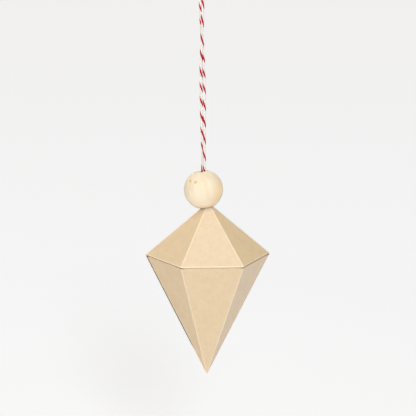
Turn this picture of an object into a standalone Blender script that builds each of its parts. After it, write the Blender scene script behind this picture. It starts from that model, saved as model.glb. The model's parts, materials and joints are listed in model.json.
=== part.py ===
# Hanging ornament of folded card: a six sided gem with a wooden bead above it on a doubled twine.
# Metres, +Z up. The origin is the inside top of the twine's loop, where a hook would hold it.
# The gem's axis runs straight down, a little to one side of the loop, as the hand strung original hangs.

import math

import bmesh
import bpy
from mathutils import Vector

# The gem
sides = 6
corner_radius = 0.0320
crown_height = 0.0272
pavilion_height = 0.0646
card_thickness = 0.0004

# Where the gem hangs: its axis from the loop, and the depth of the point its ridges would meet at
gem_axis_x = 0.0043
gem_axis_y = -0.0019
apex_depth = 0.1200

# Glue tabs
glue_joint_gap = 0.0003
glue_film = 0.0001
glue_edge_margin = 0.0007
girdle_tab_depth = 0.0060
girdle_tab_margin = 0.0025
girdle_tab_mitre_deg = 55.0
seam_tab_width = 0.0060
crown_seam_deg = 60.0
crown_seam_tab_low = 0.0010
crown_seam_tab_high = 0.0045
crown_seam_low_mitre_deg = 70.0
crown_seam_high_mitre_deg = 45.0
pavilion_seam_deg = 180.0
pavilion_seam_tab_low = 0.0030
pavilion_seam_tab_high = 0.0010
pavilion_seam_low_mitre_deg = 19.0
pavilion_seam_high_mitre_deg = 60.0

# The bead
bead_diameter = 0.0200
bead_bore_diameter = 0.0068
bead_edge_radius = 0.00025
bead_steps = 48
bead_rows = 24
bead_edge_rows = 4
bead_sharp_deg = 50
bead_lean_left_deg = 9.8
bead_lean_back_deg = 6.3
bead_seat_gap = 0.0003

# The twine
twine_diameter = 0.0013
leg_gap = 0.0003
apex_hole_clearance = 0.0003
twine_point_step = 0.0033
twine_curve_parts = 40
twine_bevel_resolution = 2
twine_end_gap = 0.0003

# The knot under the apex, and the twine's two cut ends
knot_radius = 0.0029
knot_seat_gap = 0.0003
knot_wrap_radius = 0.0008
knot_wraps_deg = (48, 0, -48)
knot_wrap_reach_deg = 66
knot_wrap_rows = 6
knot_steps = 24
knot_sharp_deg = 40
tail_long = 0.0150
tail_short = 0.0110
tail_parts = 4
tail_curl = 0.15

# The doubled twine, from the knot up to its loop. Each row is one station of the pair, in millimetres from
# the origin: depth below the loop, x and y of the pair's middle, how far each leg stands from the middle,
# and the way the first leg faces, in degrees about +Z.
leg_stand = (twine_diameter + leg_gap) / 2 * 1000
twine_stations = [
    (-122.33, 4.30, -1.90, leg_stand, -262),
    (-121.10, 4.28, -1.86, leg_stand, -260),
    (-119.20, 3.96, -1.50, leg_stand, -256),
    (-116.80, 3.10, -0.64, leg_stand, -250),
    (-114.20, 2.36, -0.06, leg_stand, -245),
    (-111.20, 2.21, 0.00, leg_stand, -241),
    (-104.00, 2.07, 0.00, leg_stand, -238),
    (-93.00, 1.85, 0.00, leg_stand, -240),
    (-77.00, 1.53, 0.00, leg_stand, -213),
    (-61.00, 1.21, 0.00, leg_stand, -180),
    (-47.00, 0.93, 0.00, leg_stand, -138),
    (-34.00, 0.68, 0.00, leg_stand, -92),
    (-23.00, 0.46, 0.00, leg_stand, -58),
    (-15.00, 0.30, 0.00, leg_stand, -38),
    (-11.60, 0.23, 0.00, 1.15, -31),
    (-8.20, 0.16, 0.00, 2.10, -26),
    (-4.80, 0.10, 0.00, 2.90, -23),
    (-1.80, 0.04, 0.00, 2.45, -20),
]
loop_top = (0.0, 0.0, twine_diameter / 2)

# Points nearer than this are one point
merge_distance = 0.000001


def clear_scene():
    for item in list(bpy.data.objects):
        bpy.data.objects.remove(item, do_unlink=True)


def make_material(name, colour, roughness):
    material = bpy.data.materials.new(name)
    material.use_nodes = True
    shader = material.node_tree.nodes["Principled BSDF"]
    shader.inputs["Base Color"].default_value = (*colour, 1.0)
    shader.inputs["Roughness"].default_value = roughness
    shader.inputs["Metallic"].default_value = 0.0
    material.diffuse_color = (*colour, 1.0)
    return material


def add_object(name, mesh, material, parent=None):
    item = bpy.data.objects.new(name, mesh)
    item.data.materials.append(material)
    bpy.context.scene.collection.objects.link(item)
    item.parent = parent
    return item


def mesh_from(name, bm):
    bmesh.ops.recalc_face_normals(bm, faces=bm.faces)
    mesh = bpy.data.meshes.new(name)
    bm.to_mesh(mesh)
    bm.free()
    return mesh


# Directions and corners of the gem, measured from the point where the crown's ridges would meet

inner_radius = corner_radius * math.cos(math.pi / sides)
tip = Vector((0.0, 0.0, -crown_height - pavilion_height))
sheet_step = card_thickness + glue_joint_gap


def corner(index):
    angle = 2 * math.pi * index / sides
    return Vector((corner_radius * math.cos(angle), corner_radius * math.sin(angle), -crown_height))


def corner_at(degrees):
    """The number of the corner that lies nearest an angle about the gem's axis."""
    return round(degrees * sides / 360) % sides


crown_seam_corner = corner_at(crown_seam_deg)
pavilion_seam_corner = corner_at(pavilion_seam_deg)


def crown_normal(index):
    angle = 2 * math.pi * (index + 0.5) / sides
    slant = math.hypot(inner_radius, crown_height)
    out = crown_height / slant
    return Vector((out * math.cos(angle), out * math.sin(angle), inner_radius / slant))


def pavilion_normal(index):
    angle = 2 * math.pi * (index + 0.5) / sides
    slant = math.hypot(inner_radius, pavilion_height)
    out = pavilion_height / slant
    return Vector((out * math.cos(angle), out * math.sin(angle), -inner_radius / slant))


def seam_shift(normal, ridge_from, ridge_to, base_direction):
    """How far along its base a facet's seam fold lies from the ridge, so that its tab clears the next facet."""
    turn = normal(0).angle(normal(1))
    base_angle = (ridge_to - ridge_from).angle(base_direction)
    return sheet_step / math.sin(turn) / math.sin(base_angle)


def tab_on(start, end, across, depth, start_mitre, end_mitre):
    """Free corners of a tab on the fold from start to end, reaching depth along across."""
    along = (end - start).normalized()
    far_end = end + across * depth - along * (depth / math.tan(math.radians(end_mitre)))
    far_start = start + across * depth + along * (depth / math.tan(math.radians(start_mitre)))
    return [far_end, far_start]


def folded_sheet(name, panels):
    """One sheet of card: panels that share their fold lines, given thickness on the inside."""
    bm = bmesh.new()
    placed = {}

    def vertex(point):
        key = tuple(round(value, 7) for value in point)
        if key not in placed:
            placed[key] = bm.verts.new(point)
        return placed[key]

    for panel in panels:
        bm.faces.new([vertex(point) for point in panel])
    mesh = bpy.data.meshes.new(name)
    bm.to_mesh(mesh)
    bm.free()
    return mesh


def thicken(item):
    modifier = item.modifiers.new("card", "SOLIDIFY")
    modifier.solidify_mode = "NON_MANIFOLD"
    modifier.nonmanifold_thickness_mode = "CONSTRAINTS"
    modifier.nonmanifold_merge_threshold = merge_distance
    modifier.thickness = card_thickness
    modifier.offset = -1.0
    modifier.use_rim = True


def glue_strip(tab, normal, name):
    """A thin film between a tab and the facet above it, a little smaller than the tab all round."""
    inset = []
    for index, point in enumerate(tab):
        before = (tab[index - 1] - point).normalized()
        after = (tab[(index + 1) % len(tab)] - point).normalized()
        half = before.angle(after) / 2
        inset.append(point + (before + after).normalized() * (glue_edge_margin / math.sin(half)))
    low = (glue_joint_gap - glue_film) / 2
    bm = bmesh.new()
    face = bm.faces.new([bm.verts.new(point + normal * low) for point in inset])
    grown = bmesh.ops.extrude_face_region(bm, geom=[face])
    moved = [part for part in grown["geom"] if isinstance(part, bmesh.types.BMVert)]
    bmesh.ops.translate(bm, verts=moved, vec=normal * glue_film)
    return mesh_from(name, bm)


# The crown

pair_half_width = (twine_diameter + leg_gap + twine_diameter) / 2
hole_inner_radius = pair_half_width + apex_hole_clearance
hole_edge_radius = hole_inner_radius + card_thickness * crown_height / math.hypot(inner_radius, crown_height)
hole_share = hole_edge_radius / inner_radius


def crown_panels():
    panels, seam_tab = [], None
    seam_facet = (crown_seam_corner - 1) % sides
    for index in range(sides):
        low_start, low_end = corner(index), corner(index + 1)
        high_start, high_end = low_start * hole_share, low_end * hole_share
        if index == seam_facet:
            base = (low_start - low_end).normalized()
            shift = seam_shift(crown_normal, low_end, Vector(), base)
            low_end, high_end = low_end + base * shift, high_end + base * shift
            up = (high_end - low_end).normalized()
            fold_low = low_end + up * crown_seam_tab_low
            fold_high = high_end - up * crown_seam_tab_high
            normal = crown_normal(index + 1)
            across = up.cross(normal).normalized()
            across = across if across.dot(corner(index + 2) - corner(index + 1)) > 0 else -across
            free = tab_on(
                fold_low, fold_high, across, seam_tab_width, crown_seam_low_mitre_deg, crown_seam_high_mitre_deg
            )
            seam_tab = [fold_low, fold_high, *free]
            panels.append([low_start, low_end, fold_low, fold_high, high_end, high_start])
            panels.append([fold_high, fold_low, free[1], free[0]])
        else:
            panels.append([low_start, low_end, high_end, high_start])
    return panels, seam_tab


# The pavilion

girdle_turn = crown_normal(0).angle(pavilion_normal(0))
girdle_drop = sheet_step / math.sin(girdle_turn)
girdle_share = 1 - girdle_drop / math.hypot(inner_radius, pavilion_height)
crown_base_angle = (-corner(0)).angle(corner(1) - corner(0))
margin_beside_seam = seam_tab_width / math.sin(crown_base_angle) + 2 * glue_joint_gap


def pavilion_panels():
    panels, girdle_tabs, seam_tab = [], [], None
    shift = 0.0
    for step in range(sides):
        index = (pavilion_seam_corner + step) % sides
        ends = [tip + (corner(index) - tip) * girdle_share, tip + (corner(index + 1) - tip) * girdle_share]
        base = (ends[1] - ends[0]).normalized()
        outline = [tip]
        if step == 0:
            shift = seam_shift(pavilion_normal, ends[0], tip, base)
            seam_foot = tip + (corner(index + 1) - tip) * (shift / corner_radius)
            outline = [seam_foot]
            ends[0] = ends[0] + base * shift
            up = (ends[0] - seam_foot).normalized()
            fold_low = seam_foot + up * pavilion_seam_tab_low
            fold_high = ends[0] - up * pavilion_seam_tab_high
            normal = pavilion_normal(index - 1)
            across = up.cross(normal).normalized()
            across = across if across.dot(corner(index - 1) - corner(index)) > 0 else -across
            free = tab_on(
                fold_low, fold_high, across, seam_tab_width,
                pavilion_seam_low_mitre_deg, pavilion_seam_high_mitre_deg,
            )
            seam_tab = [fold_low, fold_high, *free]
        up_crown = -(corner(index) + corner(index + 1)).normalized()
        beside_seam = index == crown_seam_corner
        tab_start = ends[0] + base * (margin_beside_seam if beside_seam else girdle_tab_margin)
        tab_end = ends[1] - base * girdle_tab_margin
        mitre = girdle_tab_mitre_deg
        free_tab = tab_on(tab_start, tab_end, up_crown, girdle_tab_depth, mitre, mitre)
        girdle_tabs.append((index, [tab_start, tab_end, *free_tab]))
        rest = [ends[1], tab_end, tab_start, ends[0]]
        if step == 0:
            panels.append([*outline, *rest, fold_high, fold_low])
            panels.append([fold_low, fold_high, *free])
        elif step == 1:
            panels.append([tip, *rest, seam_foot])
        else:
            panels.append([*outline, *rest])
        panels.append([tab_start, tab_end, *free_tab])
    return panels, girdle_tabs, seam_tab


def build_gem(card, glue, axis):
    panels, crown_tab = crown_panels()
    crown = add_object("crown", folded_sheet("crown", panels), card, axis)
    thicken(crown)
    normal = crown_normal(crown_seam_corner)
    add_object("crown_seam_glue", glue_strip(crown_tab, normal, "crown_seam_glue"), glue, axis)
    panels, girdle_tabs, seam_tab = pavilion_panels()
    pavilion = add_object("pavilion", folded_sheet("pavilion", panels), card, axis)
    thicken(pavilion)
    normal = pavilion_normal(pavilion_seam_corner - 1)
    add_object("pavilion_seam_glue", glue_strip(seam_tab, normal, "pavilion_seam_glue"), glue, axis)
    for number, (index, tab) in enumerate(girdle_tabs, start=1):
        name = f"girdle_glue_{number}"
        add_object(name, glue_strip(tab, crown_normal(index), name), glue, axis)


# The bead


def bead_mesh():
    """A ball with a straight bore and eased edges, turned about +Z."""
    ball, bore, ease = bead_diameter / 2, bead_bore_diameter / 2, bead_edge_radius
    ease_x = bore + ease
    ease_z = math.sqrt((ball - ease) ** 2 - ease_x ** 2)
    meet = math.atan2(ease_z, ease_x)
    outside = []
    for step in range(bead_rows + 1):
        angle = meet * (2 * step / bead_rows - 1)
        outside.append((ball * math.cos(angle), ball * math.sin(angle)))
    upper_ease = []
    for step in range(1, bead_edge_rows + 1):
        angle = meet + (math.pi - meet) * step / bead_edge_rows
        upper_ease.append((ease_x + ease * math.cos(angle), ease_z + ease * math.sin(angle)))
    lower_ease = [(x, -z) for x, z in reversed(upper_ease)]
    profile = [*outside, *upper_ease, *lower_ease]
    bm = bmesh.new()
    points = [bm.verts.new((x, 0.0, z)) for x, z in profile]
    edges = [bm.edges.new(pair) for pair in zip(points, [*points[1:], points[0]])]
    bmesh.ops.spin(
        bm, geom=points + edges, axis=(0, 0, 1), cent=(0, 0, 0), angle=2 * math.pi, steps=bead_steps,
        use_merge=True,
    )
    return mesh_from("bead", bm)


def build_bead(material, axis):
    """The bead leans until its bore meets the twine, with its lower rim round the crown's ridges."""
    lean = Vector((-math.tan(math.radians(bead_lean_left_deg)), math.tan(math.radians(bead_lean_back_deg)), 1))
    lean.normalize()
    rim_radius = bead_bore_diameter / 2 + bead_edge_radius
    rim_depth = math.sqrt((bead_diameter / 2) ** 2 - rim_radius ** 2)
    steepness = crown_height / corner_radius
    off_axis = rim_radius * math.sqrt(1 - lean.z ** 2) / steepness
    sideways = Vector((lean.x, lean.y, 0)).normalized()
    lift = bead_seat_gap * math.hypot(1, steepness)
    rim_middle = sideways * off_axis + Vector((0, 0, lift - steepness * rim_radius * lean.z))
    bead = add_object("bead", bead_mesh(), material)
    bead.data.shade_smooth()
    bead.data.set_sharp_from_angle(angle=math.radians(bead_sharp_deg))
    bead.location = axis.location + rim_middle + lean * rim_depth
    bead.rotation_mode = "QUATERNION"
    bead.rotation_quaternion = Vector((0, 0, 1)).rotation_difference(lean)


# The twine


def twine_route():
    """Every point of the route, up the first leg, over the loop and down the second, in metres."""
    first, second = [], []
    for depth, x, y, stand, facing in twine_stations:
        middle = Vector((x, y, depth)) / 1000
        way = Vector((math.cos(math.radians(facing)), math.sin(math.radians(facing)), 0)) * stand / 1000
        first.append(middle + way)
        second.append(middle - way)
    return [*first, Vector(loop_top), *reversed(second)]


def smooth_curve(points, step):
    """Points about step apart on the Catmull-Rom curve through the route."""
    dense = []
    for index in range(len(points) - 1):
        a = points[max(index - 1, 0)]
        b, c = points[index], points[index + 1]
        d = points[min(index + 2, len(points) - 1)]
        for part in range(twine_curve_parts):
            t = part / twine_curve_parts
            dense.append(
                0.5 * (2 * b + (c - a) * t + (2 * a - 5 * b + 4 * c - d) * t ** 2
                       + (3 * b - 3 * c + d - a) * t ** 3)
            )
    dense.append(points[-1])
    lengths = [0.0]
    for before, after in zip(dense, dense[1:]):
        lengths.append(lengths[-1] + (after - before).length)
    count = max(2, round(lengths[-1] / step))
    picked, place = [], 0
    for number in range(count + 1):
        target = lengths[-1] * number / count
        while place < len(lengths) - 2 and lengths[place + 1] < target:
            place += 1
        span = lengths[place + 1] - lengths[place]
        picked.append(dense[place].lerp(dense[place + 1], (target - lengths[place]) / span))
    return picked


def tube(name, points, material):
    curve = bpy.data.curves.new(name, "CURVE")
    curve.dimensions = "3D"
    curve.bevel_depth = twine_diameter / 2
    curve.bevel_resolution = twine_bevel_resolution
    curve.use_fill_caps = True
    spline = curve.splines.new("POLY")
    spline.points.add(len(points) - 1)
    for point, place in zip(spline.points, points):
        point.co = (*place, 1.0)
    item = bpy.data.objects.new(name, curve)
    curve.materials.append(material)
    bpy.context.scene.collection.objects.link(item)
    return item


def build_knot(material, axis):
    """Three tight wraps, the upper one drawn into the cone under the apex opening."""
    slope = math.atan2(crown_height, inner_radius)
    inner_apex = card_thickness / math.cos(slope)
    middle = -inner_apex - (knot_radius + knot_seat_gap) / math.cos(slope)
    reach = knot_radius - knot_wrap_radius
    profile = []
    for wrap_deg in knot_wraps_deg:
        centre_x = reach * math.cos(math.radians(wrap_deg))
        centre_z = middle + reach * math.sin(math.radians(wrap_deg))
        for row in range(knot_wrap_rows + 1):
            angle = math.radians(wrap_deg + knot_wrap_reach_deg * (1 - 2 * row / knot_wrap_rows))
            profile.append((centre_x + knot_wrap_radius * math.cos(angle),
                            centre_z + knot_wrap_radius * math.sin(angle)))
    top, bottom = profile[0][1], profile[-1][1]
    bm = bmesh.new()
    line = [(0.0, top), *profile, (0.0, bottom)]
    points = [bm.verts.new((x, 0.0, z)) for x, z in line]
    edges = [bm.edges.new(pair) for pair in zip(points, points[1:])]
    bmesh.ops.spin(
        bm, geom=points + edges, axis=(0, 0, 1), cent=(0, 0, 0), angle=2 * math.pi, steps=knot_steps,
        use_merge=True,
    )
    bmesh.ops.remove_doubles(bm, verts=bm.verts, dist=merge_distance)
    knot = add_object("stopper_knot", mesh_from("stopper_knot", bm), material)
    knot.data.shade_smooth()
    knot.data.set_sharp_from_angle(angle=math.radians(knot_sharp_deg))
    knot.location = axis.location
    return axis.location + Vector((0, 0, min(z for _, z in profile)))


def build_twine(material, axis):
    route = smooth_curve(twine_route(), twine_point_step)
    tube("hanging_twine", route, material)
    length = sum((after - before).length for before, after in zip(route, route[1:]))
    print(f"hanging twine: {length * 1000:.0f} mm on {len(route)} points")
    foot = build_knot(material, axis)
    leave = Vector((0, 0, -twine_end_gap))
    beside = Vector(((twine_diameter + leg_gap) / 2, 0, 0))
    for name, side, length in (("twine_tail_long", -1, tail_long), ("twine_tail_short", 1, tail_short)):
        start = foot + leave + beside * side
        route = []
        for part in range(tail_parts + 1):
            share = part / tail_parts
            curl = side * tail_curl * length * share ** 2
            route.append(start + Vector((curl, -curl / 2, -length * share)))
        tube(name, smooth_curve(route, twine_point_step), material)


def main():
    clear_scene()
    card = make_material("kraft_card", (0.79, 0.63, 0.43), 0.85)
    wood = make_material("bare_wood", (0.87, 0.74, 0.52), 0.6)
    cotton = make_material("cotton_twine", (0.85, 0.72, 0.66), 0.9)
    glue = make_material("dried_glue", (0.82, 0.8, 0.72), 0.4)
    axis = bpy.data.objects.new("gem_axis", None)
    axis.location = (gem_axis_x, gem_axis_y, -apex_depth)
    bpy.context.scene.collection.objects.link(axis)
    build_gem(card, glue, axis)
    build_bead(wood, axis)
    build_twine(cotton, axis)


main()
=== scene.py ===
# Hanging ornament: a gem folded from kraft card, a turned wooden bead and striped cotton twine.
# Metres, +Z up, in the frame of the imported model. The origin is the inside top of the twine's loop.

import json
import math

import bmesh
import bpy
from mathutils import Matrix, Vector


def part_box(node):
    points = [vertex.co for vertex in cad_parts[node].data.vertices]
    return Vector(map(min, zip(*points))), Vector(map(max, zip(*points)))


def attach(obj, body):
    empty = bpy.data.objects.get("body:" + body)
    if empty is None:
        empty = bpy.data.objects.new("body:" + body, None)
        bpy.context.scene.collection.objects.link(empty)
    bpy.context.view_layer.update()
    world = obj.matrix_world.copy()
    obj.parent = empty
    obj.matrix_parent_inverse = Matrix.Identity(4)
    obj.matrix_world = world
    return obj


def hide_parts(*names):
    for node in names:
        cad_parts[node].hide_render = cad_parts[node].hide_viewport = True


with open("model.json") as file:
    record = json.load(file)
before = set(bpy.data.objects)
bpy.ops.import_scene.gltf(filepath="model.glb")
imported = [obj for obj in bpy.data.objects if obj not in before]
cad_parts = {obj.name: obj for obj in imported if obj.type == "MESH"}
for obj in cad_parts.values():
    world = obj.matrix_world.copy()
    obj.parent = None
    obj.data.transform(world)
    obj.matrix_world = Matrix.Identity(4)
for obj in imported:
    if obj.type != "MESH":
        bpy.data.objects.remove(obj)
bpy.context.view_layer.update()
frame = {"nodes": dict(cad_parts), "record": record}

print("frame loaded:", len(frame["nodes"]), "nodes")


# Small helpers

mergeDistance = 0.000001     # points nearer than this are one point


def linearFromHex(hexColour):
    channels = [int(hexColour[i:i + 2], 16) / 255 for i in (1, 3, 5)]
    return tuple(c / 12.92 if c <= 0.04045 else ((c + 0.055) / 1.055) ** 2.4 for c in channels)


def colourFromHex(hexColour):
    return (*linearFromHex(hexColour), 1.0)


def newMaterial(name):
    material = bpy.data.materials.new(name)
    material.use_nodes = True
    return material, material.node_tree.nodes["Principled BSDF"]


# Sets a node's inputs; an input that is given a socket is linked to it
def setInputs(material, node, inputs):
    for name, value in inputs.items():
        if isinstance(value, bpy.types.NodeSocket):
            material.node_tree.links.new(value, node.inputs[name])
        else:
            node.inputs[name].default_value = value


# Adds one node, and returns the output that is asked for or else the node. A ramp's stops are pairs of a
# place and an sRGB hex. Sizes of patterns are in millimetres, so a noise's scale is 1000 / size.
def addNode(material, kind, output=None, inputs=None, stops=(), **settings):
    node = material.node_tree.nodes.new(kind)
    for name, value in settings.items():
        setattr(node, name, value)
    setInputs(material, node, inputs or {})
    if stops:
        elements = node.color_ramp.elements
        while len(elements) < len(stops):
            elements.new(0.5)
        for element, (place, hexColour) in zip(elements, stops):
            element.position = place
            element.color = colourFromHex(hexColour)
    return node if output is None else node.outputs[output]


# Lays tones over a colour in turn, each given as (value, start, end, strength, sRGB hex). There is none of a
# tone where the value is at its start, and the most, the strength, where the value is at its end.
def layTones(material, colour, tones):
    for value, start, end, strength, hexColour in tones:
        amount = addNode(material, "ShaderNodeMapRange", "Result", {
            "Value": value, "From Min": start, "From Max": end, "To Max": strength},
            interpolation_type="SMOOTHSTEP")
        colour = addNode(material, "ShaderNodeMix", 2, {0: amount, 6: colour, 7: colourFromHex(hexColour)},
                         data_type="RGBA")
    return colour


def addPiece(name, mesh, body, slotName, *nodes):
    piece = bpy.data.objects.new(name, mesh)
    bpy.context.scene.collection.objects.link(piece)
    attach(piece, body)
    if nodes:
        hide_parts(*nodes)
    return piece


def meshFromBmesh(name, bm, *materials):
    mesh = bpy.data.meshes.new(name)
    bm.to_mesh(mesh)
    bm.free()
    for material in materials:
        mesh.materials.append(material)
    return mesh


# A plain mesh of an object as its modifiers or its bevel leave it
def appliedMesh(item):
    bpy.context.view_layer.update()
    depsgraph = bpy.context.evaluated_depsgraph_get()
    return bpy.data.meshes.new_from_object(item.evaluated_get(depsgraph))


# Camera, at the photograph's angle

camera = {
    "azimuth": -4.90, "elevation": 14.49, "roll": 0.45,     # degrees
    "distance": 1.28,
    "lens": 215.7, "sensor": 36.0,                          # millimetres
    "nearest": 0.05, "farthest": 50.0,                      # what it can see, in metres
    "photoSize": 416, "gemPixel": (207.76, 253.89),         # where the gem's widest level has its middle
}

# The gem turns about its axis at the point where the crown's ridges would meet
gemSpin = next(joint for joint in frame["record"]["behaviour"]["joints"] if joint["name"] == "gem_spin")
gemApex = Vector(gemSpin["pos_m"])
crownHeight = 0.0272
girdleMiddle = gemApex - Vector((0, 0, crownHeight))


def buildCamera():
    azimuth, elevation = math.radians(camera["azimuth"]), math.radians(camera["elevation"])
    roll = math.radians(camera["roll"])
    back = Vector((math.sin(azimuth) * math.cos(elevation), -math.cos(azimuth) * math.cos(elevation),
                   math.sin(elevation)))
    level = Vector((math.cos(azimuth), math.sin(azimuth), 0))
    upright = back.cross(level)
    right = level * math.cos(roll) + upright * math.sin(roll)
    up = upright * math.cos(roll) - level * math.sin(roll)
    # the camera turns until the gem lies as far from the middle of the frame as in the photograph
    focalPixels = camera["lens"] / camera["sensor"] * camera["photoSize"]
    middle = camera["photoSize"] / 2
    aside, below = middle - camera["gemPixel"][0], camera["gemPixel"][1] - middle
    away = (back * focalPixels - up * below - right * aside).normalized()
    right = up.cross(away).normalized()
    data = bpy.data.cameras.new("photoCamera")
    data.lens = camera["lens"]
    data.sensor_width = camera["sensor"]
    data.clip_start, data.clip_end = camera["nearest"], camera["farthest"]
    item = bpy.data.objects.new("photoCamera", data)
    item.matrix_world = Matrix.Translation(girdleMiddle + back * camera["distance"]) @ Matrix(
        (right, away.cross(right), away)).transposed().to_4x4()
    bpy.context.scene.collection.objects.link(item)
    bpy.context.scene.camera = item
    print("camera set at", camera["distance"], "m")


buildCamera()


# Twine: four plies of cotton, one of them dyed red, laid to the left. It is doubled, and the two legs are
# twisted round each other to the right.

twine = {
    "diameter": 0.0014,
    "plyRadius": 0.00036, "plyReach": 0.00034,     # soft plies press into one another
    "redFullness": 1.30,                           # the dyed ply is the fullest of the four
    "pitch": 0.0083,                               # one turn of a ply along the twine
    "plies": 4, "plyRoundness": 3,
    "step": 0.0003, "pathStep": 0.0015,            # between points of the plies and of the cord's route
    "curveParts": 40,                              # straight bits between two points of a route
    # the knot's wraps run round a ball, from one latitude in degrees to the same one below
    "knotReach": 0.0021, "knotTurns": 3.0, "knotLatitude": 49, "knotSteps": 90, "coreSteps": 15,
    "tailLong": 0.0150, "tailShort": 0.0110, "tailCurl": 0.15, "tailSteps": 4,
    "tailSplay": 0.0028, "splayReach": 1.3,        # how far from a cut end the plies part, and how much
    # fibres are 0.02 mm thick; drawn coarser, so that they show
    "fibreSize": 0.12, "fibreRelief": 0.00006,
    "red": "#C00C1D", "redDeep": "#A00815", "natural": "#F7F3EB", "naturalShade": "#EBE5DB",
    # rows of the photograph where the red ply of each leg faces the camera, one turn after another
    "redRowsFirst": (3.1, 20.9, 39.5, 55.0, 72.8, 87.0, 101.0, 117.0, 132.5, 146.5, 174.5),
    "redRowsSecond": (8.4, 24.0, 40.5, 57.0, 73.2, 88.5, 105.0, 122.0, 138.6, 155.6, 171.0),
}

# Each station of the pair, from the knot up to the loop, in metres: height, where 0 is the inside top of the
# loop, x and y of the pair's middle, how far each leg stands from the middle, and the way the first leg
# faces, in degrees
legStand = 0.0008
twineStations = [
    (-0.12233, 0.00430, -0.00190, legStand, -262),
    (-0.12110, 0.00428, -0.00186, legStand, -260),
    (-0.11920, 0.00396, -0.00150, legStand, -256),
    (-0.11680, 0.00310, -0.00064, legStand, -250),
    (-0.11420, 0.00236, -0.00006, legStand, -245),
    (-0.11120, 0.00221, 0.00000, legStand, -241),
    (-0.10400, 0.00207, 0.00000, legStand, -238),
    (-0.09300, 0.00185, 0.00000, legStand, -240),
    (-0.07700, 0.00153, 0.00000, legStand, -213),
    (-0.06100, 0.00121, 0.00000, legStand, -180),
    (-0.04700, 0.00093, 0.00000, legStand, -138),
    (-0.03400, 0.00068, 0.00000, legStand, -92),
    (-0.02300, 0.00046, 0.00000, legStand, -58),
    (-0.01500, 0.00030, 0.00000, legStand, -38),
    (-0.01160, 0.00023, 0.00000, 0.00115, -31),
    (-0.00820, 0.00016, 0.00000, 0.00210, -26),
    (-0.00480, 0.00010, 0.00000, 0.00290, -23),
    (-0.00180, 0.00004, 0.00000, 0.00245, -20),
]
loopTop = (0.0, 0.0, 0.00065)


def twineRoute():
    first, second = [], []
    for height, x, y, stand, facing in twineStations:
        middle = Vector((x, y, height))
        way = Vector((math.cos(math.radians(facing)), math.sin(math.radians(facing)), 0)) * stand
        first.append(middle + way)
        second.append(middle - way)
    return [*first, Vector(loopTop), *reversed(second)]


# Points a step apart on the smooth curve that runs through every point of a route, and the curve's length
def smoothCurve(route, step):
    dense = []
    for index in range(len(route) - 1):
        a, d = route[max(index - 1, 0)], route[min(index + 2, len(route) - 1)]
        b, c = route[index], route[index + 1]
        for part in range(twine["curveParts"]):
            t = part / twine["curveParts"]
            dense.append(0.5 * (2 * b + (c - a) * t + (2 * a - 5 * b + 4 * c - d) * t ** 2
                                + (3 * b - 3 * c + d - a) * t ** 3))
    dense.append(route[-1])
    lengths = [0.0]
    for before, after in zip(dense, dense[1:]):
        lengths.append(lengths[-1] + (after - before).length)
    count = max(2, round(lengths[-1] / step))
    picked, place = [], 0
    for number in range(count + 1):
        target = lengths[-1] * number / count
        while place < len(lengths) - 2 and lengths[place + 1] < target:
            place += 1
        share = (target - lengths[place]) / (lengths[place + 1] - lengths[place])
        picked.append(dense[place].lerp(dense[place + 1], share))
    return picked, lengths[-1]


# The way along a curve and two ways square to it at each point, carried along without turning round it
def sidesAlong(points):
    ways = [(after - before).normalized() for before, after in zip(points, points[1:])]
    ways.append(ways[-1])
    side = Vector((1, 0, 0))
    frames = []
    for index, way in enumerate(ways):
        if index:
            side = ways[index - 1].rotation_difference(way) @ side
        side = (side - way * side.dot(way)).normalized()
        frames.append((way, side, way.cross(side)))
    return frames


# The four plies of one stretch of twine, wound to the left round its middle line. Towards a cut end they
# splay apart.
def plyLines(points, turns, splayedEnd=0.0):
    lines = [[] for _ in range(twine["plies"])]
    for index, (point, (way, side, other)) in enumerate(zip(points, sidesAlong(points))):
        toEnd = (points[-1] - point).length
        reach = twine["plyReach"]
        if toEnd < splayedEnd:
            reach += twine["plyReach"] * twine["splayReach"] * (1 - toEnd / splayedEnd) ** 2
        for ply in range(twine["plies"]):
            angle = turns[index] + 2 * math.pi * ply / twine["plies"]
            lines[ply].append(point + (side * math.cos(angle) + other * math.sin(angle)) * reach)
    return lines


def steadyTurns(points, firstTurn=0.0):
    turns = [firstTurn]
    for before, after in zip(points, points[1:]):
        turns.append(turns[-1] - (after - before).length / twine["pitch"] * 2 * math.pi)
    return turns


# Turns that bring the red ply round to the camera at the photograph's rows, and steady turns elsewhere
def turnsByRows(points):
    sight = bpy.context.scene.camera.matrix_world
    focalPixels = camera["lens"] / camera["sensor"] * camera["photoSize"]
    rows = []
    for point in points:
        seen = sight.inverted() @ point
        rows.append(camera["photoSize"] / 2 + seen.y / seen.z * focalPixels)
    top = max(range(len(points)), key=lambda index: points[index].z)
    places = [min(range(top), key=lambda index: abs(rows[index] - row)) for row in twine["redRowsFirst"]]
    places += [min(range(top, len(points)), key=lambda index: abs(rows[index] - row))
               for row in twine["redRowsSecond"]]
    steady = steadyTurns(points)
    frames = sidesAlong(points)
    marks = []
    for place in sorted(places):
        way, side, other = frames[place]
        toCamera = sight.translation - points[place]
        facing = math.atan2(toCamera.dot(other), toCamera.dot(side))
        expected = 0.0
        if marks and (place < top) == (marks[-1][0] < top):
            expected = marks[-1][1] - 2 * math.pi
        elif marks:
            expected = marks[-1][1] + steady[place] - steady[marks[-1][0]]     # over the loop
        marks.append((place, facing + 2 * math.pi * round((expected - facing) / (2 * math.pi))))
    turns = []
    for index in range(len(points)):
        after = next((number for number, mark in enumerate(marks) if mark[0] > index), len(marks))
        if after in (0, len(marks)):
            place, turn = marks[min(after, len(marks) - 1)]
            turns.append(turn + steady[index] - steady[place])
        else:
            (place, turn), (nextPlace, nextTurn) = marks[after - 1], marks[after]
            share = (index - place) / (nextPlace - place)
            turns.append(turn + (nextTurn - turn) * share)
    return turns


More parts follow.
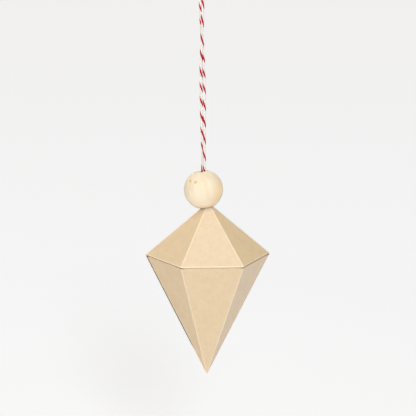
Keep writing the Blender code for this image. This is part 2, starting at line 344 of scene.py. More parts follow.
# The plies become one mesh: a bevelled curve for each, the red one with its own material
def plyMesh(name, stretches):
    curve = bpy.data.curves.new(name, "CURVE")
    curve.dimensions = "3D"
    curve.bevel_depth = twine["plyRadius"]
    curve.bevel_resolution = twine["plyRoundness"]
    curve.use_fill_caps = True
    curve.materials.append(naturalCotton)
    curve.materials.append(redCotton)
    for lines in stretches:
        for ply, line in enumerate(lines):
            spline = curve.splines.new("POLY")
            spline.points.add(len(line) - 1)
            for point, place in zip(spline.points, line):
                point.co = (*place, 1.0)
                point.radius = twine["redFullness"] if ply == 0 else 1.0
            spline.material_index = 1 if ply == 0 else 0
            spline.use_smooth = True
    item = bpy.data.objects.new(name, curve)
    bpy.context.scene.collection.objects.link(item)
    bm = bmesh.new()
    bm.from_mesh(appliedMesh(item))
    bpy.data.objects.remove(item)
    bpy.data.curves.remove(curve)
    bmesh.ops.remove_doubles(bm, verts=bm.verts, dist=mergeDistance)     # closes each ply's ends
    return meshFromBmesh(name, bm, naturalCotton, redCotton)


def buildTwineMaterial(name, bright, deep, sheen):
    # Cotton yarn, carded and plied: matt, with a soft sheen from its loose fibres
    material, shader = newMaterial(name)
    place = addNode(material, "ShaderNodeTexCoord", "Object")
    fibres = addNode(material, "ShaderNodeTexNoise", "Fac", {
        "Vector": place, "Scale": 1000 / twine["fibreSize"], "Roughness": 0.6})
    colour = addNode(material, "ShaderNodeValToRGB", "Color", {"Fac": fibres}, [
        (0.3, deep), (0.62, bright)])
    bump = addNode(material, "ShaderNodeBump", "Normal", {
        "Height": fibres, "Strength": 0.5, "Distance": twine["fibreRelief"]})
    setInputs(material, shader, {
        "Base Color": colour, "Normal": bump, "Roughness": 0.9, "Specular IOR Level": 0.25,
        "Sheen Weight": sheen, "Sheen Roughness": 0.5})
    return material


naturalCotton = buildTwineMaterial("naturalCottonYarn", twine["natural"], twine["naturalShade"], 0.25)
redCotton = buildTwineMaterial("redDyedCottonYarn", twine["red"], twine["redDeep"], 0.05)


def buildTwine():
    route = twineRoute()
    fine, length = smoothCurve(route, twine["step"])
    path, _ = smoothCurve(route, twine["pathStep"])
    mesh = plyMesh("stripedTwine", [plyLines(fine, turnsByRows(fine))])
    piece = addPiece("stripedTwine", mesh, "twine", "twine", "hanging_twine")
    print(f"twine: {length * 1000:.0f} mm, {len(mesh.polygons)} faces")
    return piece, path, length


# The knot's wraps wind down round the two legs, and the two cut ends hang below it
def buildKnot():
    knotLow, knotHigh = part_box("stopper_knot")
    wraps = []
    for number in range(twine["knotSteps"] + 1):
        share = number / twine["knotSteps"]
        turn = 2 * math.pi * twine["knotTurns"] * share
        latitude = math.radians(twine["knotLatitude"]) * (1 - 2 * share)
        out = twine["knotReach"] * math.cos(latitude)
        wraps.append((knotLow + knotHigh) / 2 + Vector((
            out * math.cos(turn), out * math.sin(turn), twine["knotReach"] * math.sin(latitude))))
    stretches = [plyLines(wraps, steadyTurns(wraps))]
    for side in (-1, 1):
        top = Vector((gemApex.x + side * legStand, gemApex.y, knotHigh.z))
        core = [top + Vector((0, 0, (knotLow.z - knotHigh.z) * part / twine["coreSteps"]))
                for part in range(twine["coreSteps"] + 1)]
        stretches.append(plyLines(core, steadyTurns(core)))
    knot = addPiece("stopperKnot", plyMesh("stopperKnot", stretches), "twine", "twine", "stopper_knot")
    tails = []
    for name, node, side, length, firstTurn in (
            ("twineEndLong", "twine_tail_long", -1, twine["tailLong"], 0.0),
            ("twineEndShort", "twine_tail_short", 1, twine["tailShort"], 2.0)):
        start = Vector((gemApex.x + side * legStand, gemApex.y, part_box(node)[1].z))
        route = []
        for part in range(twine["tailSteps"] + 1):
            share = part / twine["tailSteps"]
            curl = side * twine["tailCurl"] * length * share ** 2
            route.append(start + Vector((curl, -curl / 2, -length * share)))
        fine, _ = smoothCurve(route, twine["step"])
        mesh = plyMesh(name, [plyLines(fine, steadyTurns(fine, firstTurn), twine["tailSplay"])])
        tails.append(addPiece(name, mesh, "twine", "twine", node))
    print("knot and two cut ends built")
    return [knot, *tails]


stripedTwine, twinePath, twineLength = buildTwine()
knotPieces = buildKnot()


# Kraft card

card = {
    "pale": "#EED9B9", "middle": "#ECD6B6", "deep": "#EAD3B3", "fleck": "#DFC59C", "paleWearAndPaintedLight": "#FDEDD0",
    "cloudSize": 4.5, "rubSize": 2.2, "scorchSize": 1.5,       # millimetres
    # fibres are 0.03 mm wide; drawn coarser, so that they show
    "fibreSize": 0.9, "fibreStretch": (1.0, 1.0, 0.35), "fibreRelief": 0.00004,
    "fleckFrom": 0.5, "fleckTo": 0.72, "fleckMost": 0.5,       # levels of the fibres' noise, and strength
    "aged": "#FFFCEC",                            # painted warm light: what the facet given the most tint is multiplied by
    # folds and rims are worn in patches: how far from the edge in millimetres, from none to the most, how
    # strongly, and the levels of the patches' noise
    "foldBand": (0.55, 0.12), "foldWear": 0.85,
    "rimBand": (0.85, 0.45), "rimWear": 1.0,
    "wearLevels": (0.12, 0.55),
    "ring": (0.0072, 0.0042),                     # painted light: metres from the apex, where the card is painted paler to lift the bead's shade on it
    # painted shade under the crown's rim at both sides, darkest at the right: from which x to which in
    # metres, how strongly, and how far from the rim in millimetres
    "paintedRimShadeTone": "#9A774C", "paintedRimShadeSpans": ((0.0195, 0.0215, 0.5), (-0.0110, -0.0130, 0.2)), "paintedRimShadeBand": (0.5, 0.2),
    # cut edges are toasted; down the pavilion's seam, by their z, they carry painted shade of the seam's
    # gap, nearly black; they are paler along the front by their y, and pale at the tip
    "toasted": "#4E3821", "toastedPale": "#765636", "frontEdgePale": "#CBAA7E", "paintedSeamShade": "#22170D",
    "front": (-0.0270, -0.0290), "seam": (-0.1500, -0.1540), "tip": (-0.1930, -0.2000),
}


def buildCardMaterial():
    # Kraft card, smooth rolled: matt, warm and faintly cloudy, paler where folds and rims are rubbed
    material, shader = newMaterial("kraftCard")
    place = addNode(material, "ShaderNodeTexCoord", "Object")
    clouds = addNode(material, "ShaderNodeTexNoise", "Fac", {
        "Vector": place, "Scale": 1000 / card["cloudSize"], "Detail": 3.0, "Roughness": 0.6})
    colour = addNode(material, "ShaderNodeValToRGB", "Color", {"Fac": clouds}, [
        (0.36, card["deep"]), (0.5, card["middle"]), (0.66, card["pale"])])
    drawn = addNode(material, "ShaderNodeMapping", "Vector", {
        "Vector": place, "Scale": card["fibreStretch"]})
    fibres = addNode(material, "ShaderNodeTexNoise", "Fac", {
        "Vector": drawn, "Scale": 1000 / card["fibreSize"], "Detail": 3.0, "Roughness": 0.65})
    colour = layTones(material, colour, [
        (fibres, card["fleckFrom"], card["fleckTo"], card["fleckMost"], card["fleck"])])
    # painted light: each facet's card is multiplied towards a warmer tone by its own share, standing in for
    # warm light on it
    paintedTintUv = addNode(material, "ShaderNodeUVMap", "UV", uv_map="aged")
    aged = addNode(material, "ShaderNodeSeparateXYZ", "X", {"Vector": paintedTintUv})
    colour = addNode(material, "ShaderNodeMix", 2, {0: aged, 6: colour, 7: colourFromHex(card["aged"])},
                     data_type="RGBA", blend_type="MULTIPLY")
    wear = addNode(material, "ShaderNodeUVMap", "UV", uv_map="wear")
    edges = addNode(material, "ShaderNodeSeparateXYZ", inputs={"Vector": wear}).outputs
    rubbed = addNode(material, "ShaderNodeTexNoise", "Fac", {
        "Vector": place, "Scale": 1000 / card["rubSize"]})
    tones = []
    barest, fullest = card["wearLevels"]
    for edge, band, most in ((edges["X"], card["foldBand"], card["foldWear"]),
                             (edges["Y"], card["rimBand"], card["rimWear"])):
        patchy = addNode(material, "ShaderNodeMapRange", "Result", {
            "Value": rubbed, "From Min": barest, "From Max": fullest, "To Max": most},
            interpolation_type="SMOOTHSTEP")
        tones.append((edge, *band, patchy, card["paleWearAndPaintedLight"]))
    across = addNode(material, "ShaderNodeSeparateXYZ", "X", {"Vector": place})
    # painted shade: the card along the rim is darkened towards the right and left sides, where the crown
    # overhangs the pavilion
    rimStart, rimEnd = card["paintedRimShadeBand"]
    for start, end, strength in card["paintedRimShadeSpans"]:
        nearRim = addNode(material, "ShaderNodeMapRange", "Result", {
            "Value": edges["Y"], "From Min": rimStart, "From Max": rimEnd, "To Max": strength},
            interpolation_type="SMOOTHSTEP")
        tones.append((across, start, end, nearRim, card["paintedRimShadeTone"]))
    fromApex = addNode(material, "ShaderNodeVectorMath", "Value", {
        0: place, 1: gemApex}, operation="DISTANCE")
    # painted light: a pale ring round the apex lifts the shade that the bead casts on the card
    tones.append((fromApex, *card["ring"], 1.0, card["paleWearAndPaintedLight"]))
    bump = addNode(material, "ShaderNodeBump", "Normal", {
        "Height": fibres, "Strength": 0.25, "Distance": card["fibreRelief"]})
    setInputs(material, shader, {
        "Base Color": layTones(material, colour, tones), "Normal": bump, "Diffuse Roughness": 0.15,
        "Roughness": 0.5, "Specular IOR Level": 0.46})
    return material


def buildCutEdgeMaterial():
    # The card's cut edges, toasted brown by the laser that cut them: a thin dark line round each sheet, that
    # is paler along the front and at the tip, and carries painted shade, nearly black, down the pavilion's
    # seam
    material, shader = newMaterial("laserCutCardEdge")
    place = addNode(material, "ShaderNodeTexCoord", "Object")
    scorch = addNode(material, "ShaderNodeTexNoise", "Fac", {
        "Vector": place, "Scale": 1000 / card["scorchSize"], "Detail": 3.0})
    colour = addNode(material, "ShaderNodeValToRGB", "Color", {"Fac": scorch}, [
        (0.35, card["toasted"]), (0.7, card["toastedPale"])])
    sides = addNode(material, "ShaderNodeSeparateXYZ", inputs={"Vector": place}).outputs
    colour = layTones(material, colour, [
        # painted shade: the seam's gap on the pavilion is painted nearly black on its cut edges
        (sides["Z"], *card["seam"], 1.0, card["paintedSeamShade"]),
        # paler along the front, by y
        (sides["Y"], *card["front"], 1.0, card["frontEdgePale"]),
        (sides["Z"], *card["tip"], 1.0, card["paleWearAndPaintedLight"]),
    ])
    setInputs(material, shader, {"Base Color": colour, "Roughness": 0.9, "Specular IOR Level": 0.2})
    return material


kraftCard = buildCardMaterial()
cutCardEdge = buildCutEdgeMaterial()


# Gem: one folded sheet for the crown and one for the pavilion, each closed by a glued side seam. All is
# measured from the point where the crown's ridges would meet, and moved to its place at the end.

gem = {
    "sides": 6, "frontFacet": 4, "radius": 0.0320, "crownHeight": crownHeight, "pavilionHeight": 0.0646,
    "thickness": 0.0004, "glueGap": 0.0003,
    "holeRadius": 0.0022,                         # the apex opening, from the axis to the middle of a side
    "girdleTabDepth": 0.0060, "girdleTabMargin": 0.0012, "girdleTabMitre": 55,
    "seamTabWidth": 0.0060,
    "foldWidth": 0.00030, "foldSegments": 4,      # scored card folds to a small round
    "edgeWidth": 0.00007, "edgeSegments": 2,      # cut edges are only just eased
    "foldAngle": 20, "sharpAngle": 35,            # in degrees: what counts as a fold, what is shaded sharp
    "bow": 0.00005,                               # how far a facet stands out at its middle
    "rings": 12, "slices": 6,
    "offFacet": 0.00001, "atPoint": 0.0001,       # what stands off a facet or is near the point doesn't bow
}
gem["inside"] = gem["radius"] * math.cos(math.pi / gem["sides"])
gem["halfSide"] = gem["radius"] * math.sin(math.pi / gem["sides"])
facetTurn = 360 / gem["sides"]
sheetStep = gem["thickness"] + gem["glueGap"]     # from a sheet to the one that is glued under it

# Each pyramid by the place of its point and its rise from there to its rim; the corner where its seam lies,
# the facet that gives the tab and the one that covers it; the tab's margins and mitres, from the rim end;
# and how strongly each facet's card gets the painted warm light tint
crown = {
    "top": Vector((0, 0, 0)), "rise": -gem["crownHeight"], "nearShare": gem["holeRadius"] / gem["inside"],
    "seamCorner": 1, "tabFacet": 0, "overFacet": 1,
    "tabMargins": (0.0010, 0.0045), "tabMitres": (70, 45),
    "aged": (0.7, 0.6, 0.6, 0.71, 0.29, 1.0),
}
pavilion = {
    "top": Vector((0, 0, -gem["crownHeight"] - gem["pavilionHeight"])), "rise": gem["pavilionHeight"],
    "nearShare": 0, "seamCorner": 3, "tabFacet": 3, "overFacet": 2,
    "tabMargins": (0.0010, 0.0030), "tabMitres": (60, 19),
    "aged": (0.3, 0.5, 0.6, 0.68, 0.61, 0.0),
}


# From the point to a place on the rim, given by its angle and its distance from the axis
def wayDown(pyramid, angle, reach):
    return Vector((reach * math.cos(angle), reach * math.sin(angle), pyramid["rise"])).normalized()


def ridgeWay(pyramid, corner):
    return wayDown(pyramid, math.radians(facetTurn * corner), gem["radius"])


# A facet's way from the point along its middle, its way across and its outward normal
def facetWays(pyramid, facet):
    angle = math.radians(facetTurn * (facet + 0.5))
    along = wayDown(pyramid, angle, gem["inside"])
    across = Vector((-math.sin(angle), math.cos(angle), 0))
    normal = across.cross(along)
    if normal.x * math.cos(angle) + normal.y * math.sin(angle) < 0:
        normal = -normal
    return along, across, normal


# From a ridge into a facet beside it, square to the ridge
def inwardWay(pyramid, corner, facet):
    ridge, along = ridgeWay(pyramid, corner), facetWays(pyramid, facet)[0]
    return (along - ridge * along.dot(ridge)).normalized()


def facetOf(place):
    return int(math.degrees(math.atan2(place.y, place.x)) % 360 // facetTurn)


# The crown reaches the gem's widest level; the pavilion stops where its tabs can fold in under the crown
crown["farShare"] = 1
girdleDrop = sheetStep / math.sin(facetWays(crown, 0)[2].angle(facetWays(pavilion, 0)[2]))
pavilion["farShare"] = 1 - girdleDrop / math.hypot(gem["inside"], gem["pavilionHeight"])


# A six sided cone without ends, from its point or the hole there to its rim
def sixSidedCone(pyramid):
    bm = bmesh.new()
    near, far = gem["radius"] * pyramid["nearShare"], gem["radius"] * pyramid["farShare"]
    low, high = (far, near) if pyramid["rise"] < 0 else (near, far)
    bmesh.ops.create_cone(bm, cap_ends=False, segments=gem["sides"], radius1=low, radius2=high,
                          depth=abs(pyramid["rise"]) * (pyramid["farShare"] - pyramid["nearShare"]))
    bmesh.ops.remove_doubles(bm, verts=bm.verts, dist=mergeDistance)
    widest = max(bm.verts, key=lambda vert: vert.co.xy.length).co
    turn = Matrix.Rotation(-math.atan2(widest.y, widest.x), 3, "Z")
    bmesh.ops.rotate(bm, verts=bm.verts, matrix=turn)
    middle = pyramid["rise"] * (pyramid["nearShare"] + pyramid["farShare"]) / 2
    bmesh.ops.translate(bm, verts=bm.verts, vec=pyramid["top"] + Vector((0, 0, middle)))
    return bm


# Opens the seam: the tab's facet loses the strip beside the ridge, as wide as the tab needs to pass under
def openSeam(bm, pyramid):
    inward = inwardWay(pyramid, pyramid["seamCorner"], pyramid["tabFacet"])
    turn = facetWays(pyramid, 0)[2].angle(facetWays(pyramid, 1)[2])
    foot = pyramid["top"] + inward * sheetStep / math.sin(turn)
    facet = next(face for face in bm.faces if facetOf(face.calc_center_median()) == pyramid["tabFacet"])
    cut = bmesh.ops.bisect_plane(bm, geom=[facet, *facet.edges, *facet.verts], dist=mergeDistance / 10,
                                 plane_co=foot, plane_no=inward)
    strip = min((item for item in cut["geom"] if isinstance(item, bmesh.types.BMFace)),
                key=lambda face: (face.calc_center_median() - foot).dot(inward))
    bmesh.ops.delete(bm, geom=[strip], context="FACES")
    ends = sorted((item for item in cut["geom_cut"] if isinstance(item, bmesh.types.BMVert)),
                  key=lambda vert: (vert.co - pyramid["top"]).length)
    return ends[1], ends[0]     # at the rim, near the point


# A tab folded off the middle of an open edge, its two ends cut at a mitre
def addTab(bm, start, end, margins, mitres, across, depth):
    along = (end.co - start.co).normalized()
    _, foldStart = bmesh.utils.edge_split(bm.edges.get((start, end)), start,
                                          margins[0] / (end.co - start.co).length)
    _, foldEnd = bmesh.utils.edge_split(bm.edges.get((foldStart, end)), end,
                                        margins[1] / (end.co - foldStart.co).length)
    fold = bm.edges.get((foldStart, foldEnd))
    grown = bmesh.ops.extrude_edge_only(bm, edges=[fold])
    for vert in [item for item in grown["geom"] if isinstance(item, bmesh.types.BMVert)]:
        atStart = (vert.co - foldStart.co).length < (vert.co - foldEnd.co).length
        inset = depth / math.tan(math.radians(mitres[0] if atStart else mitres[1]))
        vert.co += across * depth + along * (inset if atStart else -inset)


# Each of the pavilion's facets ends in a tab that lies under the crown; the one beside the crown's seam is
# shorter
def addGirdleTabs(bm):
    lean = math.atan2(gem["halfSide"], math.hypot(gem["inside"], gem["crownHeight"]))
    besideSeam = gem["seamTabWidth"] / math.sin(lean + math.pi / 2) + 2 * gem["glueGap"]
    rim = max(vert.co.z for vert in bm.verts) - mergeDistance
    for edge in [edge for edge in bm.edges if min(vert.co.z for vert in edge.verts) > rim]:
        facet = facetOf((edge.verts[0].co + edge.verts[1].co) / 2)
        across = facetWays(pavilion, facet)[1]
        start, end = sorted(edge.verts, key=lambda vert: vert.co.dot(across))
        margin, mitre = gem["girdleTabMargin"], gem["girdleTabMitre"]
        margins = (besideSeam if facet == crown["overFacet"] else margin, margin)
        addTab(bm, start, end, margins, (mitre, mitre), -facetWays(crown, facet)[0], gem["girdleTabDepth"])


# Cuts the sheet into small panes, so that each facet can bow out a little between its folds
def bowFacets(bm, pyramid):
    top, rise = pyramid["top"], pyramid["rise"]
    near, far = pyramid["nearShare"], pyramid["farShare"]
    for ring in range(1, gem["rings"]):
        level = top + Vector((0, 0, rise * (near + (far - near) * ring / gem["rings"])))
        bmesh.ops.bisect_plane(bm, geom=[*bm.verts, *bm.edges, *bm.faces], dist=mergeDistance,
                               plane_co=level, plane_no=(0, 0, 1))
    # each cut through the axis goes through two facets, and the ridges are left out
    for cut in range(gem["sides"] // 2 * gem["slices"]):
        if cut % gem["slices"]:
            angle = math.radians(facetTurn / gem["slices"] * cut)
            bmesh.ops.bisect_plane(bm, geom=[*bm.verts, *bm.edges, *bm.faces], dist=mergeDistance,
                                   plane_co=top, plane_no=(-math.sin(angle), math.cos(angle), 0))
    slant = math.hypot(gem["inside"], rise)
    for vert in bm.verts:
        place = vert.co - top
        along, across, normal = facetWays(pyramid, facetOf(place))
        if abs(place.dot(normal)) > gem["offFacet"] or place.length < gem["atPoint"]:
            continue
        down = place.dot(along)
        aside = place.dot(across) / (down * gem["halfSide"] / slant)
        vert.co += normal * gem["bow"] * max(0, 1 - aside ** 2) * math.sin(math.pi * min(down / slant, 1))


# How far in millimetres each corner of each pane lies from the nearest fold and from the rim, for the worn
# edges, and how much painted warm light tint the facet gets
def noteWear(bm, pyramid):
    for name in ("aged", "wear"):
        bm.loops.layers.uv.new(name)
    aged, wear = bm.loops.layers.uv["aged"], bm.loops.layers.uv["wear"]
    slant = math.hypot(gem["inside"], pyramid["rise"])
    lean = math.atan2(gem["halfSide"], slant)
    for face in bm.faces:
        facet = facetOf(face.calc_center_median() - pyramid["top"])
        along, across, _ = facetWays(pyramid, facet)
        for loop in face.loops:
            place = loop.vert.co - pyramid["top"]
            down, aside = place.dot(along), abs(place.dot(across))
            loop[wear].uv = ((down * math.sin(lean) - aside * math.cos(lean)) * 1000, (slant - down) * 1000)
            loop[aged].uv = (pyramid["aged"][facet], 0)


# The folded sheet gets its thickness on the inside
def thickenSheet(name, bm, pyramid):
    bmesh.ops.recalc_face_normals(bm, faces=bm.faces)
    # the outermost pane of the front facet tells which way the sheet faces
    outward = facetWays(pyramid, gem["frontFacet"])[2]
    outermost = max(bm.faces, key=lambda face: face.calc_center_median().dot(outward))
    if outermost.normal.dot(outward) < 0:
        bmesh.ops.reverse_faces(bm, faces=bm.faces)
    sheet = bpy.data.objects.new(name, meshFromBmesh(name, bm, kraftCard, cutCardEdge))
    bpy.context.scene.collection.objects.link(sheet)
    modifier = sheet.modifiers.new("cardThickness", "SOLIDIFY")
    modifier.solidify_mode = "NON_MANIFOLD"
    modifier.nonmanifold_thickness_mode = "CONSTRAINTS"
    modifier.nonmanifold_merge_threshold = mergeDistance
    modifier.thickness = gem["thickness"]
    modifier.offset = -1.0
    modifier.material_offset_rim = 1
    bm = bmesh.new()
    bm.from_mesh(appliedMesh(sheet))
    bpy.data.objects.remove(sheet)
    return bm


# Folds are rounded on the outside and cut edges are eased
def easeEdges(bm):
    folds = [edge for edge in bm.edges if all(face.material_index == 0 for face in edge.link_faces)
             and edge.calc_face_angle_signed(0) > math.radians(gem["foldAngle"])]
    bmesh.ops.bevel(bm, geom=folds, offset=gem["foldWidth"], offset_type="OFFSET", affect="EDGES",
                    segments=gem["foldSegments"], profile=0.5, clamp_overlap=True, material=-1)
    cuts = [edge for edge in bm.edges if len({face.material_index for face in edge.link_faces}) == 2]
    bmesh.ops.bevel(bm, geom=cuts, offset=gem["edgeWidth"], offset_type="OFFSET", affect="EDGES",
                    segments=gem["edgeSegments"], profile=0.5, clamp_overlap=True, material=-1)


def buildGem():
    for name, node, pyramid in (("foldedCrown", "crown", crown), ("foldedPavilion", "pavilion", pavilion)):
        bm = sixSidedCone(pyramid)
        rimEnd, pointEnd = openSeam(bm, pyramid)
        addTab(bm, rimEnd, pointEnd, pyramid["tabMargins"], pyramid["tabMitres"],
               inwardWay(pyramid, pyramid["seamCorner"], pyramid["overFacet"]), gem["seamTabWidth"])
        if pyramid is pavilion:
            addGirdleTabs(bm)
        bowFacets(bm, pyramid)
        bm = thickenSheet(name, bm, pyramid)
        easeEdges(bm)
        noteWear(bm, pyramid)
        bmesh.ops.translate(bm, verts=bm.verts, vec=gemApex)
        mesh = meshFromBmesh(name, bm, kraftCard, cutCardEdge)
        mesh.shade_smooth()
        mesh.set_sharp_from_angle(angle=math.radians(gem["sharpAngle"]))
        piece = addPiece(name, mesh, "gem", "card", node)
        piece.modifiers.new("flatFacets", "WEIGHTED_NORMAL").keep_sharp = True
        print(f"{name}: {len(mesh.polygons)} faces")


buildGem()


# Glue: thin films between the tabs and the card over them, all inside the gem. They keep the shape that the
# frame gives them.

glue = {
    "thick": "#DCD3BE", "thin": "#EFEADC",
    "strokeSize": 1.2, "strokeStretch": (1.0, 1.0, 0.4),           # millimetres
    "strokeRelief": 0.00005,
}


def buildGlueMaterial():
    # White craft glue, brushed on and dried clear: a slightly milky, glossy film
    material, shader = newMaterial("driedCraftGlue")
    place = addNode(material, "ShaderNodeTexCoord", "Object")
    drawn = addNode(material, "ShaderNodeMapping", "Vector", {
        "Vector": place, "Scale": glue["strokeStretch"]})
    strokes = addNode(material, "ShaderNodeTexNoise", "Fac", {
        "Vector": drawn, "Scale": 1000 / glue["strokeSize"], "Detail": 3.0})
    colour = addNode(material, "ShaderNodeValToRGB", "Color", {"Fac": strokes}, [
        (0.3, glue["thick"]), (0.7, glue["thin"])])
    bump = addNode(material, "ShaderNodeBump", "Normal", {
        "Height": strokes, "Strength": 0.4, "Distance": glue["strokeRelief"]})
    setInputs(material, shader, {"Base Color": colour, "Normal": bump, "Roughness": 0.35, "IOR": 1.47})
    return material


def finishGlue():
    driedGlue = buildGlueMaterial()
    films = [bpy.data.objects[node] for node in frame["nodes"] if "glue" in node]
    for film in films:
        for slot in film.material_slots:
            slot.material = driedGlue
    print("glue:", len(films), "films")


finishGlue()


# Bead: a ball turned from pale birch, with a straight bore. It leans on the crown's ridges.

bead = {
    "radius": 0.0100, "bore": 0.0034, "edge": 0.00025,      # metres; the bore by its radius
    "leanLeft": 9.8, "leanBack": 6.3,                       # degrees
    "profileSteps": 128, "steps": 96, "edgeSteps": 5,
    "pale": "#F8EBCF", "middle": "#F6E8CA", "deep": "#F3E3C3", "pin": "#E0BC74", "paintedBoreShadeTone": "#A97E46",
    "grainSize": 2.4, "grainStretch": (1.0, 1.0, 0.08),     # millimetres, drawn out along the bore
    # pores are 0.08 mm wide; drawn coarser, so that they show
    "poreSize": 0.55, "poreStretch": (1.0, 1.0, 0.12), "poreRelief": 0.00003,
    "poreFrom": 0.52, "poreTo": 0.72, "poreMost": 0.35,     # levels of the pores' noise, and strength
    # two pin knots: turn and height on the ball in degrees, their reach and their heart's in metres
    "pins": ((-141.0, 37.6), (-116.5, 32.0)), "pinReach": (0.0011, 0.00033), "pinMost": 0.85,
    # painted warm shade at right and bottom, painted light at lower left: turn and height on the ball in
    # degrees, reach in metres, tone
    "shadeAndLightPatches": ((-18.0, -14.0, 0.0102, "#F6DFB4"), (-128.0, -36.0, 0.0085, "#FAEDD2"),
                (0.0, -90.0, 0.0085, "#F1D5A4")), "patchMost": 0.9,
    "paintedBoreShade": (0.0051, 0.0042),                       # reach of the painted shade round the bore's lower rim, from the ball's lower end
}
beadLow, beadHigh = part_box("bead")
beadMiddle = (beadLow + beadHigh) / 2
beadLean = Vector((-math.tan(math.radians(bead["leanLeft"])), math.tan(math.radians(bead["leanBack"])), 1))
beadTurn = Vector((0, 0, 1)).rotation_difference(beadLean.normalized())


# A point on the ball's face, before the ball leans
def onBall(turn, height):
    turn, height = math.radians(turn), math.radians(height)
    return bead["radius"] * Vector((math.cos(turn) * math.cos(height), math.sin(turn) * math.cos(height),
                                    math.sin(height)))


def buildBeadMaterial():
    # Birch, turned and fine sanded but left bare: silky, nearly white, with faint streaks along the bore
    material, shader = newMaterial("bareTurnedBirch")
    place = addNode(material, "ShaderNodeTexCoord", "Object")
    own = addNode(material, "ShaderNodeMapping", "Vector", {
        "Vector": place, "Location": beadMiddle, "Rotation": beadTurn.to_euler()}, vector_type="TEXTURE")
    drawn = addNode(material, "ShaderNodeMapping", "Vector", {
        "Vector": own, "Scale": bead["grainStretch"]})
    grain = addNode(material, "ShaderNodeTexNoise", "Fac", {
        "Vector": drawn, "Scale": 1000 / bead["grainSize"], "Detail": 1.0})
    colour = addNode(material, "ShaderNodeValToRGB", "Color", {"Fac": grain}, [
        (0.36, bead["pale"]), (0.5, bead["middle"]), (0.66, bead["deep"])])
    drawn = addNode(material, "ShaderNodeMapping", "Vector", {
        "Vector": own, "Scale": bead["poreStretch"]})
    pores = addNode(material, "ShaderNodeTexNoise", "Fac", {
        "Vector": drawn, "Scale": 1000 / bead["poreSize"], "Roughness": 0.6})
    # round spots on the ball: the middle of each, where it fades in and is whole, how strongly, and its tone
    # painted shade and light: the warmer spots at the right and bottom and the paler one at the lower left
    spots = [(onBall(turn, height), (reach, reach / 2), bead["patchMost"], tone)
             for turn, height, reach, tone in bead["shadeAndLightPatches"]]
    spots += [(onBall(turn, height), bead["pinReach"], bead["pinMost"], bead["pin"])
              for turn, height in bead["pins"]]
    # painted shade: the lower rim of the bore, where the bead sits on the crown, is darkened brown
    spots.append((onBall(0, -90), bead["paintedBoreShade"], 1.0, bead["paintedBoreShadeTone"]))
    tones = [(pores, bead["poreFrom"], bead["poreTo"], bead["poreMost"], bead["deep"])]
    for middle, reach, strength, tone in spots:
        away = addNode(material, "ShaderNodeVectorMath", "Value", {
            0: own, 1: middle}, operation="DISTANCE")
        tones.append((away, *reach, strength, tone))
    bump = addNode(material, "ShaderNodeBump", "Normal", {
        "Height": pores, "Strength": 0.15, "Distance": bead["poreRelief"]})
    setInputs(material, shader, {
        "Base Color": layTones(material, colour, tones), "Normal": bump, "Diffuse Roughness": 0.35,
        "Roughness": 0.55, "Specular IOR Level": 0.35})
    return material


turnedBirch = buildBeadMaterial()


# Half the ball's outline, closed along the bore, with its two corners eased and then turned about the bore
def buildBead():
    bm = bmesh.new()
    bmesh.ops.create_circle(bm, segments=bead["profileSteps"], radius=bead["radius"])
    bmesh.ops.rotate(bm, verts=bm.verts, matrix=Matrix.Rotation(math.pi / 2, 3, "X"))
    bmesh.ops.bisect_plane(bm, geom=[*bm.verts, *bm.edges], plane_co=(bead["bore"], 0, 0),
                           plane_no=(1, 0, 0), clear_inner=True)
    corners = [vert for vert in bm.verts if len(vert.link_edges) == 1]
    bm.edges.new(corners)
    bmesh.ops.bevel(bm, geom=corners, offset=bead["edge"], offset_type="OFFSET", affect="VERTICES",
                    segments=bead["edgeSteps"], profile=0.5, material=-1)
    bmesh.ops.spin(bm, geom=[*bm.verts, *bm.edges], cent=(0, 0, 0), axis=(0, 0, 1), angle=2 * math.pi,
                   steps=bead["steps"], use_merge=True)
    bmesh.ops.remove_doubles(bm, verts=bm.verts, dist=mergeDistance)
    bmesh.ops.recalc_face_normals(bm, faces=bm.faces)
    bmesh.ops.rotate(bm, verts=bm.verts, matrix=beadTurn.to_matrix())
    bmesh.ops.translate(bm, verts=bm.verts, vec=beadMiddle)
    mesh = meshFromBmesh("turnedBead", bm, turnedBirch)
    mesh.shade_smooth()
    addPiece("turnedBead", mesh, "bead", "bead_wood", "bead")
    print(f"bead: {len(mesh.polygons)} faces")


buildBead()


# Stage: pale floor, lamps and world

stage = {
    "floorDepth": 0.36, "floorSize": 12.0,            # metres; the depth is below the loop's inside top
    "floor": "#F4F4F3", "far": "#F1F1EF",
    # the floor's own glow by distance from the loop, as a share of "glowReach" metres
    "glowReach": 2.4,
    "glow": ((0.20, "#9A9E9F"), (0.28, "#ABAEB0"), (0.38, "#B8BBBD"), (0.55, "#BFC3C4"), (0.90, "#C8CACA")),
    # it is whole behind the second y, in metres, and down to "glowLeft" before the first
    "glowBehind": (0.0, 0.35), "glowLeft": 0.6,
    "beside": (0.5, 0.9), "before": (0.0, -0.3),      # where the plain tone of the far end takes over
    "ambient": "#FFF4F2", "ambientLight": 0.29,
    "lampsAim": (0.0043, -0.0019, -0.150),
}
# Each lamp: azimuth and elevation in degrees from the front, distance and size in metres, light, colour, and
# how widely it fans out in degrees. The one behind is gridded, so that it misses the floor in the picture.
lamps = {
    "frontSoftbox": (1, 22, 1.6, 0.22, 10.1, "#F1F5FF", 180),
    "topSoftbox": (15, 66, 1.6, 0.7, 5.7, "#F6FFF8", 180),
    "leftSoftbox": (-60, 45, 1.5, 0.7, 5.0, "#FFF6F2", 180),
    "lowLamp": (10, -3, 1.6, 0.25, 2.1, "#F4F0FC", 180),
    "backSoftbox": (180, 25, 1.6, 0.7, 0.38, "#FFFFFF", 30),
}


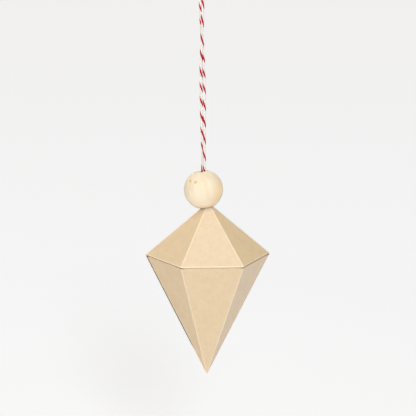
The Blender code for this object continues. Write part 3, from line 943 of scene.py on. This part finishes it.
def addLamp(name, azimuth, elevation, distance, size, light, hexColour, spread):
    azimuth, elevation = math.radians(azimuth), math.radians(elevation)
    way = Vector((math.sin(azimuth) * math.cos(elevation), -math.cos(azimuth) * math.cos(elevation),
                  math.sin(elevation)))
    data = bpy.data.lights.new(name, "AREA")
    data.shape = "DISK"
    data.size = size
    data.energy = light
    data.color = linearFromHex(hexColour)
    data.spread = math.radians(spread)
    lamp = bpy.data.objects.new(name, data)
    lamp.location = Vector(stage["lampsAim"]) + way * distance
    lamp.rotation_euler = way.to_track_quat("Z", "Y").to_euler()
    lamp.visible_camera = False
    bpy.context.scene.collection.objects.link(lamp)


# The room's light from all round; the camera sees the pale end of the backdrop there instead
def buildWorld():
    world = bpy.data.worlds.new("studioWorld")
    bpy.context.scene.world = world
    world.use_nodes = True
    ambient = world.node_tree.nodes["Background"]
    setInputs(world, ambient, {"Color": colourFromHex(stage["ambient"]), "Strength": stage["ambientLight"]})
    backdrop = addNode(world, "ShaderNodeBackground", "Background", {"Color": colourFromHex(stage["far"])})
    seen = addNode(world, "ShaderNodeLightPath", "Is Camera Ray")
    mixed = addNode(world, "ShaderNodeMixShader", "Shader", {
        0: seen, 1: ambient.outputs["Background"], 2: backdrop})
    setInputs(world, world.node_tree.nodes["World Output"], {"Surface": mixed})


def buildFloorMaterial():
    # Smooth board under matt white emulsion: even and pale. To the camera and to gloss it glows a little
    # over the lamps' own light, which evens out the way that falls off, and it keeps the gem's soft shadow.
    material, shader = newMaterial("mattEmulsionBoard")
    place = addNode(material, "ShaderNodeTexCoord", "Object")
    sides = addNode(material, "ShaderNodeSeparateXYZ", inputs={"Vector": place}).outputs
    path = addNode(material, "ShaderNodeLightPath").outputs
    away = addNode(material, "ShaderNodeVectorMath", "Value", {0: place}, operation="LENGTH")
    share = addNode(material, "ShaderNodeMath", "Value", {
        0: away, 1: stage["glowReach"]}, operation="DIVIDE")
    tone = addNode(material, "ShaderNodeValToRGB", "Color", {"Fac": share}, stage["glow"])
    seen = addNode(material, "ShaderNodeMath", "Value", {
        0: path["Is Camera Ray"], 1: path["Is Glossy Ray"]}, operation="MAXIMUM")
    nearest, farthest = stage["glowBehind"]
    behind = addNode(material, "ShaderNodeMapRange", "Result", {
        "Value": sides["Y"], "From Min": nearest, "From Max": farthest, "To Min": stage["glowLeft"]},
        interpolation_type="SMOOTHSTEP")
    strength = addNode(material, "ShaderNodeMath", "Value", {0: seen, 1: behind}, operation="MULTIPLY")
    glow = addNode(material, "ShaderNodeEmission", "Emission", {"Color": tone, "Strength": strength})
    glowing = addNode(material, "ShaderNodeAddShader", "Shader", {0: shader.outputs["BSDF"], 1: glow})
    # to the sides of what the photograph shows, and before it, the camera sees the plain tone of the far end
    aside = addNode(material, "ShaderNodeMath", "Value", {0: sides["X"]}, operation="ABSOLUTE")
    parts = []
    for value, (start, end) in ((aside, stage["beside"]), (sides["Y"], stage["before"])):
        parts.append(addNode(material, "ShaderNodeMapRange", "Result", {
            "Value": value, "From Min": start, "From Max": end, "To Max": path["Is Camera Ray"]},
            interpolation_type="SMOOTHSTEP"))
    outside = addNode(material, "ShaderNodeMath", "Value", {0: parts[0], 1: parts[1]}, operation="MAXIMUM")
    plain = addNode(material, "ShaderNodeEmission", "Emission", {"Color": colourFromHex(stage["far"])})
    mixed = addNode(material, "ShaderNodeMixShader", "Shader", {0: outside, 1: glowing, 2: plain})
    setInputs(material, material.node_tree.nodes["Material Output"], {"Surface": mixed})
    setInputs(material, shader, {
        "Base Color": colourFromHex(stage["floor"]), "Roughness": 1.0, "Specular IOR Level": 0.0})
    return material


def buildStage():
    buildWorld()
    bm = bmesh.new()
    bmesh.ops.create_grid(bm, x_segments=1, y_segments=1, size=stage["floorSize"] / 2)
    bmesh.ops.translate(bm, verts=bm.verts, vec=(0, 0, -stage["floorDepth"]))
    floor = bpy.data.objects.new("paleFloor", meshFromBmesh("paleFloor", bm, buildFloorMaterial()))
    bpy.context.scene.collection.objects.link(floor)
    for name, settings in lamps.items():
        addLamp(name, *settings)
    print("stage built:", len(lamps), "lamps")


buildStage()

bpy.context.scene.view_settings.view_transform = "Standard"
